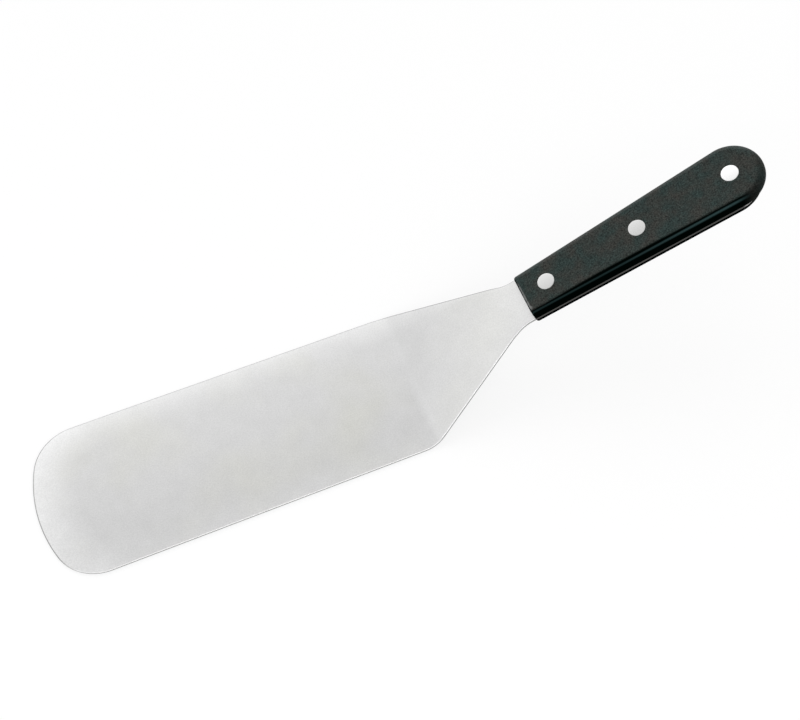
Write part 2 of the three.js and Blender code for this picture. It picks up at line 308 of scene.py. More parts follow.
class Finishes(bpy.types.PropertyGroup):
    """Colours and roughness of the steel and the acetal."""

    steel: colour("Steel", "Satin sheet, where it is neutral", "C6C6C6")
    steel_warm: colour("Warm steel", "Satin sheet, where it is a little warm", "C6C6C2")
    # Painted lighter for the finer grind, partly a painted highlight on the tip, the margins and the neck
    steel_fine_highlight: colour("Fine steel", "Finer grind at the tip, the margins and the neck", "DBDBDB")
    # Painted highlight along the top face's broken edge, on the side towards -Y
    steel_arris_highlight: colour("Steel arris", "Edge of the top face, polished when it was broken", "FAFAFA")
    steel_arris_shade: colour("Dull arris", "Edge of the top face, where it was filed and stayed dull", "949494")
    # Painted shade: grey on the top face's edge away from the side towards -Y
    steel_edge: colour("Steel edge", "Deburred edge of the sheet", "969695")
    steel_roughness: number("Steel roughness", "Satin grind", 0.34)
    # Painted shade on the tang's edge along the side towards -Y
    tang_edge_shade: colour("Tang edge", "Tang between the scales, dulled by their buffing", "403F3D")
    acetal_cool: colour("Cool acetal", "Matte moulded face, greenish patches", "2F3A38")
    acetal_warm: colour("Warm acetal", "Matte moulded face, brownish patches", "383936")
    # Near-black painted shade on the side towards -Y and the front
    acetal_shaded_side: colour("Acetal side", "Buffed side", "010403")
    # Painted highlight line on the rounded edge towards -Y
    acetal_highlight_line: colour("Acetal arris", "Line left by the buffing on the rounded edge", "2E4142")
    # Grey of the scuffed front edge, partly a painted highlight on its rounding
    acetal_worn_highlight: colour("Worn acetal", "Scuffed front edge", "7E7F7E")
    acetal_gloss: number("Acetal gloss", "Specular level of the matte acetal", 0.03)
    acetal_sheen: number("Acetal sheen", "Specular level where hands smoothed the far edge", 0.2)
    face_roughness: number("Face roughness", "Matte moulded face", 0.55)
    side_roughness: number("Side roughness", "Buffed side", 0.2)
    rivet: colour("Rivet", "Ground rivet heads", "C5C5C4")
    # Painted highlight on the rear rivet's head
    rivet_highlight: colour("Bright rivet", "Rear rivet, polished brighter", "EAEAEA")
    rivet_roughness: number("Rivet roughness", "Ground rivet heads", 0.3)


class StageSettings(bpy.types.PropertyGroup):
    """Floor, light and camera."""

    floor: colour("Floor", "Plain white floor", "FBFBFB")
    floor_size: size("Floor size", "Side of the square floor", 30.0)
    floor_gap: size("Floor gap", "Hairline between the blade and the floor", 0.1 * MM)
    floor_lift: number("Floor lift", "How far the floor is lifted to white where it is seen", 0.75)
    front_tent: number("Front of the tent", "Brightness on the camera's side", 0.592)
    back_tent: number("Back of the tent", "Brightness behind the object", 2.32)
    low_back: number("Low back", "Share of the back's light that is left near the floor", 0.2)
    key: number("Key", "Strength of the wide soft key from the right", 0.6)
    front_strip: number("Front strip", "Brightness of the strip light in front", 2.3)
    left: number("Left", "Brightness of the softbox on the left", 0.45)
    azimuth: angle("Azimuth", "Camera's angle round the object", math.radians(-13.739))
    elevation: angle("Elevation", "Camera's height as an angle", math.radians(57.71))
    roll: angle("Roll", "Camera's turn about its own line of sight", math.radians(-8.304))
    place: FloatVectorProperty(
        name="Place", description="Camera's place", default=(0.00097, -0.34196, 0.57706),
        subtype="XYZ", unit="LENGTH",
    )
    lens: FloatProperty(
        name="Lens", description="Focal length on a 36 mm sensor", default=67.5, unit="CAMERA",
    )


class SpatulaSettings(bpy.types.PropertyGroup):
    """Everything that a user would change."""

    blade: PointerProperty(type=BladeSizes)
    handle: PointerProperty(type=HandleSizes)
    rivets: PointerProperty(type=RivetSizes)
    finishes: PointerProperty(type=Finishes)
    stage: PointerProperty(type=StageSettings)


# Outlines in the plane of the blank: x along it from the tip, y across it


def arc(centre, radius, start, end):
    """Points of an arc from one angle to another: the centre plus the radius times cosine and sine."""
    count = max(3, math.ceil(abs(end - start) / ARC_STEP) + 1)
    turn = np.linspace(start, end, count)
    return np.asarray(centre) + radius * np.stack([np.cos(turn), np.sin(turn)], axis=1)


def cross(a, b):
    """Cross product of two vectors in the plane."""
    return a[0] * b[1] - a[1] * b[0]


def fillet(corner, run_in, run_out, radius):
    """The arc that rounds a corner: it touches both straight runs, a radius away from its centre."""
    side = math.copysign(1.0, cross(run_in, run_out))
    turn = math.acos(np.dot(run_in, run_out))
    inward = side * np.array([-run_in[1], run_in[0]])
    centre = corner - run_in * radius * math.tan(turn / 2) + inward * radius
    start = math.atan2(-inward[1], -inward[0])
    return arc(centre, radius, start, start + side * turn)


def tip_outline(blade, side_point, side_run):
    """The bowed front edge and its corner: the corner's circle touches the bow and the straight side."""
    bow_centre = np.array([blade.tip_radius, 0.0])
    inward = np.array([side_run[1], -side_run[0]])
    base = side_point + inward * blade.tip_corner_radius
    to_base = base - bow_centre
    along = np.dot(to_base, side_run)
    reach = blade.tip_radius - blade.tip_corner_radius
    centre = base - side_run * (along + math.sqrt(along**2 - np.dot(to_base, to_base) + reach**2))
    bow_end = math.atan2(*(centre - bow_centre)[::-1])
    side_end = math.atan2(-inward[1], -inward[0])
    bow = arc(bow_centre, blade.tip_radius, math.pi, bow_end)
    corner = arc(centre, blade.tip_corner_radius, bow_end, side_end)
    return np.vstack([bow[:-1], corner])


def handle_side(handle):
    """The handle's straight side, from the front rivet: a line that touches the round end's circle.

    Gives its half width at the front rivet and its lean away from the handle's middle.
    """
    half_width = handle.front_rivet_width / 2
    end_centre = REAR_RIVET_OFFSET + handle.end_overhang - handle.end_radius
    reach = math.hypot(end_centre, half_width)
    lean = math.asin(handle.end_radius / reach) - math.atan2(half_width, end_centre)
    return half_width, lean


def round_end(handle, setback):
    """Centre along the handle and radius of a round end a setback ahead, touching the same sides."""
    lean = handle_side(handle)[1]
    centre = REAR_RIVET_OFFSET + handle.end_overhang - handle.end_radius - setback
    return centre, handle.end_radius - setback * math.sin(lean)


def dense(points):
    """The same outline with straight runs divided evenly, so that no step is longer than RUN_STEP."""
    gaps = np.linalg.norm(np.diff(points, axis=0), axis=1)
    counts = np.maximum(1, np.ceil(gaps / RUN_STEP)).astype(int)
    first = np.repeat(np.arange(len(gaps)), counts)
    part = (np.arange(counts.sum()) - np.repeat(np.cumsum(counts) - counts, counts)) / counts[first]
    inner = points[first] + part[:, None] * (points[first + 1] - points[first])
    return np.vstack([inner, points[-1:]])


def blank_outline(blade, handle):
    """Half the blank's outline: bow, corner, side, shoulder, ramp, neck, handle side and round end."""
    tip_side = np.array([0.0, blade.tip_width / 2])
    shoulder = np.array([blade.flat_length, blade.shoulder_width / 2])
    neck = np.array([blade.flat_length + blade.ramp_length, blade.neck_width / 2])
    side_run = unit(shoulder - tip_side)
    ramp_run = unit(neck - shoulder)
    half_width, lean = handle_side(handle)
    handle_run = np.array([math.cos(lean), math.sin(lean)])
    rivet = np.array([neck[0] + handle.neck_to_front_rivet, half_width])
    neck_corner = shoulder + ramp_run * cross(rivet - shoulder, handle_run) / cross(ramp_run, handle_run)
    end_centre, end_radius = round_end(handle, handle.lower_setback)
    end = arc((rivet[0] + end_centre, 0.0), end_radius, math.pi / 2 + lean, 0.0)
    end[-1, 1] = 0.0
    return dense(np.vstack([
        tip_outline(blade, tip_side, side_run),
        fillet(shoulder, side_run, ramp_run, blade.shoulder_radius),
        fillet(neck_corner, ramp_run, handle_run, blade.neck_radius),
        end,
    ]))


def both_halves(half):
    """The closed outline: the half that was given, then its mirror image back to the start."""
    return np.vstack([half, half[-2:0:-1] * (1.0, -1.0)])


def bend(blade, handle, distance, across, height):
    """Carries points of the flat blank along the bent middle line, square to the sheet.

    The line is straight runs and arcs in turn. Each adds its chord, the run times the sine of half
    its turn over half its turn, in the direction halfway through the turn.
    """
    shoulder = blade.shoulder_bend_radius * blade.ramp_angle
    neck = blade.neck_bend_radius * abs(blade.ramp_angle - HANDLE_ANGLE)
    tail = handle.neck_to_front_rivet + REAR_RIVET_OFFSET + handle.end_overhang
    runs = (
        (blade.flat_length - shoulder / 2, 0.0),
        (shoulder, blade.ramp_angle),
        (blade.ramp_length - (shoulder + neck) / 2, 0.0),
        (neck, HANDLE_ANGLE - blade.ramp_angle),
        (tail, 0.0),
    )
    x = np.full(distance.shape, -blade.flat_length / 2)
    z = np.full(distance.shape, SHEET / 2)
    slope = np.zeros(distance.shape)
    left = distance.copy()
    for run, turn in runs:
        used = np.clip(left, 0.0, run)
        bent = turn * used / run
        chord = used * np.sinc(bent / (2 * np.pi))
        x += chord * np.cos(slope + bent / 2)
        z += chord * np.sin(slope + bent / 2)
        slope += bent
        left -= used
    return np.stack([x - height * np.sin(slope), across, z + height * np.cos(slope)], axis=-1)


def sheet_section(blade, handle, distance):
    """The sheet's edge as rows from the top's middle to the underside's middle, for each distance.

    Each row has its inset from the outline, its height over the sheet's middle, its share of the way
    out from the middle line, whether it lies on the arris that is broken at the top or on the cut edge
    below that, and how far out it lies in the roll.
    The top falls towards the edge as a parabola over the roll's width, then the edge turns through a
    quarter circle at the top and another at the bottom. The arris fades out inwards over its band.
    """
    tip_end = 2 * blade.tip_corner_radius
    neck = blade.flat_length + blade.ramp_length
    front = neck + handle.neck_to_front_rivet - handle.front_overhang
    places = [0.0, tip_end, blade.flat_length, neck, front]
    radius = np.interp(distance, [neck, front], [blade.edge_radius, blade.tang_edge_radius])
    width = np.interp(distance, places, [
        blade.tip_roll_width, blade.side_roll_width, blade.side_roll_width, blade.neck_roll_width,
        blade.neck_roll_width,
    ])
    drop = np.interp(distance, places, [
        blade.tip_roll_drop, blade.side_roll_drop, blade.side_roll_drop, blade.side_roll_drop, 0.0,
    ])
    level = np.ones_like(distance)
    inner = np.array(SHEET_ROWS)
    roll = np.linspace(1.0, 0.0, ROLL_STEPS)[:, None]
    turn = np.linspace(0.0, np.pi / 2, EDGE_STEPS)[1:, None]
    band = radius + blade.arris_band
    roll_inset = np.vstack([band + (width - band) * roll, radius * level])
    roll_height = SHEET / 2 - drop * ((width - roll_inset) / width) ** 2
    round_inset = radius * (1 - np.sin(turn))
    round_fall = radius * (1 - np.cos(turn))
    inset = np.vstack([
        *(width * level for _ in inner), roll_inset, round_inset, round_inset[::-1],
        *(radius * level for _ in (0, *inner)),
    ])
    height = np.vstack([
        *(SHEET / 2 * level for _ in inner), roll_height, roll_height[-1] - round_fall,
        round_fall[::-1] - SHEET / 2, *(-SHEET / 2 * level for _ in (0, *inner)),
    ])
    out = np.ones(len(inset))
    out[: len(inner)] = inner
    out[-len(inner) :] = inner[::-1]
    top_edge = len(inner) + ROLL_STEPS
    arris = np.zeros(len(inset))
    arris[top_edge : top_edge + EDGE_STEPS - 1] = 1.0
    cut_edge = np.zeros(len(inset))
    cut_edge[top_edge + EDGE_STEPS - 1 : -len(inner) - 1] = 1.0
    in_roll = np.clip(1 - inset / width, 0.0, 1.0) * (out == 1.0)[:, None]
    return inset, height, out[:, None], arris[:, None], cut_edge[:, None], in_roll


def blade_surface(blade, handle):
    """The bent sheet on a grid: round the outline one way, across the sheet's section the other way.

    A row's points lie its inset inside the outline, along the outline's own normal. Inner rows lie
    between that ring and the middle line, on lines square to it or fanning out at the two ends. Marks
    say where a painted highlight lies on the arris, which is along the side towards -Y, where painted
    shade greys the arris, least at +Y, where the cut edge is, where painted shade darkens the tang's
    edge on the side towards -Y, and where the steel is painted lighter, a finer grind that is partly a
    painted highlight. That grows towards the tip, towards the margins, most at +Y, and from the
    shoulder bend towards the neck, at a slant and first at -Y.
    """
    outline = both_halves(blank_outline(blade, handle))
    tangent = np.roll(outline, -1, axis=0) - np.roll(outline, 1, axis=0)
    tangent /= np.linalg.norm(tangent, axis=1, keepdims=True)
    outward = np.stack([-tangent[:, 1], tangent[:, 0]], axis=1)
    inset, height, out, arris, cut_edge, in_roll = sheet_section(blade, handle, outline[:, 0])
    ring = outline - inset[..., None] * outward
    tip_end = 2 * blade.tip_corner_radius
    round_centre = outline[:, 0].max() - handle.end_radius
    middle = np.clip(ring[..., 0], tip_end, round_centre)
    along = middle + out * (ring[..., 0] - middle)
    across = out * ring[..., 1]
    neck = blade.flat_length + blade.ramp_length
    # Where the steel is painted lighter: a finer grind, partly a painted highlight, set by side at the
    # margins and the neck
    tip_lightening = in_roll * np.interp(along, [blade.tip_corner_radius, blade.tip_lightening_end], [1.0, 0.0])
    slanted = along - NECK_LIGHTENING_SLANT * across
    neck_lightening = np.interp(slanted, [blade.neck_lightening_start, neck], [0.0, NECK_LIGHTENING_SHARE])
    neck_lightening *= np.clip((along - blade.flat_length) / NECK_LIGHTENING_RUN + 0.5, 0.0, 1.0)
    margin_lightening = in_roll**MARGIN_LIGHTENING_POWER * np.interp(outward[:, 1], *MARGIN_LIGHTENING)
    bright = np.interp(outward[:, 1], *EDGE_HIGHLIGHT)
    dull = (1 - bright) * np.interp(outward[:, 1], *EDGE_SHADE)
    dark_side = np.interp(outward[:, 0], *TANG_SHADE_FACING) * (outward[:, 1] < 0)
    marks = {
        "arris_highlight": arris * bright,
        "arris_shade": arris * dull,
        "cut_edge": np.broadcast_to(cut_edge, along.shape),
        "tang_shade": np.broadcast_to(dark_side, along.shape),
        "fine_grind_and_highlight": np.maximum(np.maximum(tip_lightening, margin_lightening), neck_lightening),
    }
    return bend(blade, handle, along, across, height), marks


def on_handle(along, across, height):
    """The front rivet's middle, plus distances along the handle, across it and up from the tang."""
    return FRONT_RIVET + (
        np.asarray(along)[..., None] * HANDLE_RUN
        + np.asarray(across)[..., None] * np.array([0.0, 1.0, 0.0])
        + np.asarray(height)[..., None] * HANDLE_UP
    )


def scale_ring(handle, setback, side_inset, front_inset):
    """Outlines of a scale at several levels, as rings with the same number of points.

    Sides and round end move in by side_inset and the front by front_inset. The runs are the front,
    its rounded corner, the straight side and the round end, each an even walk along a line or arc.
    """
    half_width, lean = handle_side(handle)
    end_centre, end_radius = round_end(handle, setback)
    radius = handle.front_corner_radius
    side_inset = side_inset[:, None]
    front = front_inset[:, None] - handle.front_overhang
    corner_x = front + radius
    width_there = half_width + corner_x * math.tan(lean) - (side_inset + radius) / math.cos(lean)
    end_radius = end_radius - side_inset
    end_turn = np.append(np.arange(math.pi / 2 + lean, 0.0, -ARC_STEP), 0.0)
    corner_turn = np.arange(math.pi, math.pi / 2 + lean, -CORNER_STEP)
    front_x = front + np.zeros(FRONT_STEPS)
    front_y = width_there * np.linspace(0.0, 1.0, FRONT_STEPS, endpoint=False)
    turn_x = corner_x + radius * np.cos(corner_turn)
    turn_y = width_there + radius * np.sin(corner_turn)
    start_x = corner_x - radius * math.sin(lean)
    start_y = width_there + radius * math.cos(lean)
    end_x = end_centre - end_radius * math.sin(lean)
    end_y = end_radius * math.cos(lean)
    walk = np.linspace(0.0, 1.0, SIDE_STEPS, endpoint=False)
    side_x = start_x + (end_x - start_x) * walk
    side_y = start_y + (end_y - start_y) * walk
    round_x = end_centre + end_radius * np.cos(end_turn)
    round_y = end_radius * np.sin(end_turn)
    x = np.hstack([front_x, turn_x, side_x, round_x])
    y = np.hstack([front_y, turn_y, side_y, round_y])
    y[:, -1] = 0.0
    return np.hstack([x, x[:, -2:0:-1]]), np.hstack([y, -y[:, -2:0:-1]])


def scale_surface(handle, side):
    """A scale on a grid: round its outline one way, up its section the other way.

    From the tang the side rises straight, then turns in through a quarter circle. The front rises
    straight for longer and turns in through a smaller one. Inner rows close both flat faces on the
    middle line. The lower scale is the same with its heights reversed and its end set back. A mark
    says where the front's rounded edge is painted worn grey, partly a painted highlight, which is
    more towards -Y.
    """
    bottom = SHEET / 2 + handle.seat_gap
    turn = np.linspace(0.0, np.pi / 2, ROUND_STEPS)
    level = np.append(bottom, HALF_GRIP - handle.edge_radius * (1 - np.sin(turn)))
    side_inset = np.append(0.0, handle.edge_radius * (1 - np.cos(turn)))
    into_front = np.clip(level - HALF_GRIP + handle.front_edge_radius, 0.0, handle.front_edge_radius)
    front_inset = handle.front_edge_radius - np.sqrt(handle.front_edge_radius**2 - into_front**2)
    setback = handle.lower_setback if side < 0 else 0.0
    ring_x, ring_y = scale_ring(handle, setback, side_inset, front_inset)
    inner = np.array(SCALE_ROWS)
    top = len(level) - 1
    order = np.concatenate([np.zeros(len(inner), int), np.arange(len(level)), np.full(len(inner), top)])
    out = np.concatenate([inner, np.ones(len(level)), inner[::-1]])[:, None]
    half_width = handle.front_rivet_width / 2
    x, y = ring_x[order], ring_y[order]
    middle = np.clip(x, half_width - handle.front_overhang, round_end(handle, setback)[0])
    height = side * np.broadcast_to(level[order][:, None], x.shape)
    at_front = np.clip(1 - (ring_x[0] + handle.front_overhang) / handle.front_corner_radius, 0.0, 1.0)
    into_round = front_inset[:, None] / handle.front_edge_radius
    share = np.interp(ring_y / half_width, *WORN_HIGHLIGHT_ACROSS)
    worn = np.clip(into_round / WORN_HIGHLIGHT_FROM - 1, 0.0, 1.0) * at_front * share
    marks = {"worn_edge_highlight": worn[order] * (out == 1.0)}
    return on_handle(middle + out * (x - middle), out * y, height), marks


def turned(profile, along):
    """A turned piece on a rivet's line: pairs of radius and height, carried round in a full circle."""
    radius, height = np.array(profile).T
    turn = np.linspace(0.0, 2 * np.pi, RIVET_SIDES, endpoint=False)
    x = along + radius[:, None] * np.cos(turn)
    y = radius[:, None] * np.sin(turn)
    return on_handle(x, y, np.broadcast_to(height[:, None], x.shape))


def head_profile(rivets):
    """A flush head from its underside's rim to its crown: a straight rim, a quarter round, a low dome."""
    radius = rivets.head_diameter / 2
    flat = radius - rivets.rim_radius
    edge = HALF_GRIP - rivets.crown
    turn = np.linspace(0.0, np.pi / 2, EDGE_STEPS)
    rim = (flat, edge) + rivets.rim_radius * np.stack([np.cos(turn), np.sin(turn) - 1], axis=1)
    inward = np.linspace(1.0, 0.0, ROLL_STEPS)[1:]
    dome = np.stack([flat * inward, edge + rivets.crown * (1 - inward**2)], axis=1)
    return np.vstack([(radius, HALF_GRIP - rivets.head_height), rim, dome])


def rivet_profiles(rivets):
    """The profiles of a rivet's two halves and of the seat that both halves need."""
    underside = HALF_GRIP - rivets.head_height
    tube = rivets.tube_diameter / 2
    pin = rivets.pin_diameter / 2
    bore = pin + rivets.gap
    head = head_profile(rivets)
    step = underside - rivets.gap
    tube_half = np.vstack([
        (0.0, underside), (bore, underside), (bore, -step), (tube, -step), (tube, underside), head,
    ])
    pin_half = np.vstack([(0.0, step), (pin, step), (pin, -underside), head * (1.0, -1.0)])
    wide = rivets.head_diameter / 2 + rivets.gap
    narrow = tube + rivets.gap
    mouth = HALF_GRIP + rivets.head_height
    seat = np.array([
        (0.0, -mouth), (wide, -mouth), (wide, -step), (narrow, -step), (narrow, step), (wide, step),
        (wide, mouth), (0.0, mouth),
    ])
    return tube_half, pin_half, seat


# Meshes


def grid_faces(rows, columns):
    """Four-sided faces of a grid whose columns close on themselves."""
    row = np.arange(rows - 1)[:, None] * columns
    column = np.arange(columns)[None]
    after = (column + 1) % columns
    corners = (row + column, row + after, row + columns + after, row + columns + column)
    return np.stack(corners, axis=-1).reshape(-1, 4)


def piece_from(name, surfaces, marks=None):
    """One object from grids of points, with seams and poles merged and faces turned outwards.

    Marks are named grids of one number a point, kept as attributes for the materials.
    """
    mesh = bpy.data.meshes.new(name)
    points, faces, start = [], [], 0
    for surface in surfaces:
        rows, columns = surface.shape[:2]
        points.append(surface.reshape(-1, 3))
        faces.append(grid_faces(rows, columns) + start)
        start += rows * columns
    mesh.from_pydata(np.vstack(points), [], np.vstack(faces))
    for mark, values in (marks or {}).items():
        mesh.attributes.new(mark, "FLOAT", "POINT").data.foreach_set("value", values.ravel())
    shell = bmesh.new()
    shell.from_mesh(mesh)
    bmesh.ops.remove_doubles(shell, verts=shell.verts, dist=MERGE_DISTANCE)
    bmesh.ops.dissolve_degenerate(shell, edges=shell.edges, dist=MERGE_DISTANCE)
    bmesh.ops.recalc_face_normals(shell, faces=shell.faces)
    shell.to_mesh(mesh)
    shell.free()
    piece = bpy.data.objects.new(name, mesh)
    bpy.context.scene.collection.objects.link(piece)
    return piece


def cut(piece, cutter):
    """Cuts the cutter's shape out of the piece for good."""
    boolean = piece.modifiers.new("rivet_seats", "BOOLEAN")
    boolean.operation = "DIFFERENCE"
    boolean.solver = "MANIFOLD"
    boolean.object = cutter
    graph = bpy.context.evaluated_depsgraph_get()
    mesh = bpy.data.meshes.new_from_object(piece.evaluated_get(graph))
    piece.modifiers.clear()
    whole, piece.data = piece.data, mesh
    bpy.data.objects.remove(cutter)
    bpy.data.meshes.remove(whole)
    mesh.name = piece.name


def dress(piece, node, material):
    """Smooth shading with true corners, the material, and the piece's place in the frame."""
    piece.data.shade_smooth()
    piece.data.set_sharp_from_angle(angle=SHARP_ANGLE)
    flats = piece.modifiers.new("flat_faces", "WEIGHTED_NORMAL")
    flats.keep_sharp = True
    piece.data.materials.clear()
    piece.data.materials.append(material)
    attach(piece, BODY)
    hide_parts(node)


def rivet_offset(name):
    """How far along the handle a rivet sits behind the front one."""
    return np.dot(RIVET_CENTRES[name] - FRONT_RIVET, HANDLE_RUN)


def rivet_seats(settings):
    """The shape that the three rivets' seats cut out of the tang and the scales."""
    seat = rivet_profiles(settings.rivets)[2]
    return piece_from("rivet_seats", [turned(seat, rivet_offset(name)) for name in RIVETS])


# Materials


def add(tree, kind, settings=None, inputs=None):
    """Adds a node with its own settings and its inputs, named by socket.

    An input is a value to set, a socket to link, or a node, whose first live output is linked.
    """
    made = tree.nodes.new("ShaderNode" + kind)
    for name, value in (settings or {}).items():
        setattr(made, name, value)
    for name, value in (inputs or {}).items():
        socket = next(s for s in made.inputs if s.enabled and name in (s.identifier, s.name))
        if isinstance(value, bpy.types.Node):
            value = next(s for s in value.outputs if s.enabled)
        if isinstance(value, bpy.types.NodeSocket):
            tree.links.new(value, socket)
        else:
            socket.default_value = value
    return made


def blank_material(name):
    """A new material with an empty node tree."""
    material = bpy.data.materials.new(name)
    material.use_nodes = True
    material.node_tree.nodes.clear()
    return material, material.node_tree


def satin_stainless(finishes, handle):
    """Stainless sheet with a fine satin grind."""
    material, tree = blank_material("satin_stainless_sheet")
    place = add(tree, "TexCoord").outputs["Object"]
    # Rolled sheet is never quite even: clouds a few centimetres wide shift it from neutral to warm.
    clouds = add(tree, "TexNoise", inputs={
        "Vector": place, "Scale": 1 / STEEL_CLOUD, "Detail": SOFT_DETAIL,
    })
    warmth = add(tree, "MapRange", inputs={
        "Value": clouds, "From Min": CLOUDS_WARM[0], "From Max": CLOUDS_WARM[1],
    })
    tint = add(tree, "Mix", COLOURS, {"Factor": warmth, "A": finishes.steel, "B": finishes.steel_warm})
    # The tip, the margins and the neck were ground once more with a finer belt and are painted a little
    # lighter, partly as a painted highlight that changes from side to side.
    fine = add(tree, "Attribute", {"attribute_name": "fine_grind_and_highlight"}).outputs["Fac"]
    lightened = add(tree, "Mix", COLOURS, {"Factor": fine, "A": tint, "B": finishes.steel_fine_highlight})
    # The grind itself is far finer than a pixel, so its grain is drawn about half a millimetre wide,
    # over faint patches of about a centimetre.
    grain = add(tree, "TexNoise", inputs={
        "Vector": place, "Scale": 1 / STEEL_GRAIN, "Detail": SOFT_DETAIL,
    })
    speckle = add(tree, "MapRange", inputs={
        "Value": grain, "To Min": GRAIN_TONES[0], "To Max": GRAIN_TONES[1],
    })
    patches = add(tree, "TexNoise", inputs={
        "Vector": place, "Scale": 1 / STEEL_PATCH, "Detail": SOFT_DETAIL,
    })
    shade = add(tree, "MapRange", inputs={
        "Value": patches, "To Min": PATCH_TONES[0], "To Max": PATCH_TONES[1],
    })
    tone = add(tree, "Math", TIMES, {"Value": speckle, "Value_001": shade})
    ground = add(tree, "Mix", SHADED, {"Factor": 1.0, "A": lightened, "B": tone})
    # A painted highlight: a bright line along the top face's broken edge, only on the side towards -Y.
    arris = add(tree, "Attribute", {"attribute_name": "arris_highlight"}).outputs["Fac"]
    highlighted = add(tree, "Mix", COLOURS, {"Factor": arris, "A": ground, "B": finishes.steel_arris_highlight})
    # Elsewhere painted shade: the edge is a grey line with no metallic sheen, a little less of it at +Y.
    filed = add(tree, "Attribute", {"attribute_name": "arris_shade"}).outputs["Fac"]
    dulled = add(tree, "Mix", COLOURS, {"Factor": filed, "A": highlighted, "B": finishes.steel_arris_shade})
    metal = add(tree, "MapRange", inputs={"Value": filed, "To Min": 1.0, "To Max": 0.0})
    # The blanked edge was only deburred, so it is darker than the ground faces.
    edge = add(tree, "Attribute", {"attribute_name": "cut_edge"}).outputs["Fac"]
    edged = add(tree, "Mix", COLOURS, {"Factor": edge, "A": dulled, "B": finishes.steel_edge})
    # Between the scales only the tang's edge shows. Along the side towards -Y it is painted dark as
    # painted shade.
    front = FRONT_RIVET_AT - handle.front_overhang
    along = add(tree, "VectorMath", DOT, {"Vector": place, "Vector_001": HANDLE_RUN})
    between = add(tree, "MapRange", inputs={
        "Value": along, "From Min": front, "From Max": front + TANG_CHANGE,
    })
    dark_side = add(tree, "Attribute", {"attribute_name": "tang_shade"}).outputs["Fac"]
    dark = add(tree, "Math", TIMES, {"Value": between, "Value_001": dark_side})
    base = add(tree, "Mix", COLOURS, {"Factor": dark, "A": edged, "B": finishes.tang_edge_shade})
    roughness = add(tree, "MapRange", inputs={
        "Value": grain, "To Min": finishes.steel_roughness - ROUGHNESS_SPREAD,
        "To Max": finishes.steel_roughness + ROUGHNESS_SPREAD,
    })
    bump = add(tree, "Bump", inputs={"Height": grain, "Strength": 1.0, "Distance": STEEL_GRAIN_DEPTH})
    surface = add(tree, "BsdfPrincipled", inputs={
        "Base Color": base, "Metallic": metal, "Roughness": roughness, "Normal": bump,
    })
    add(tree, "OutputMaterial", inputs={"Surface": surface})
    return material


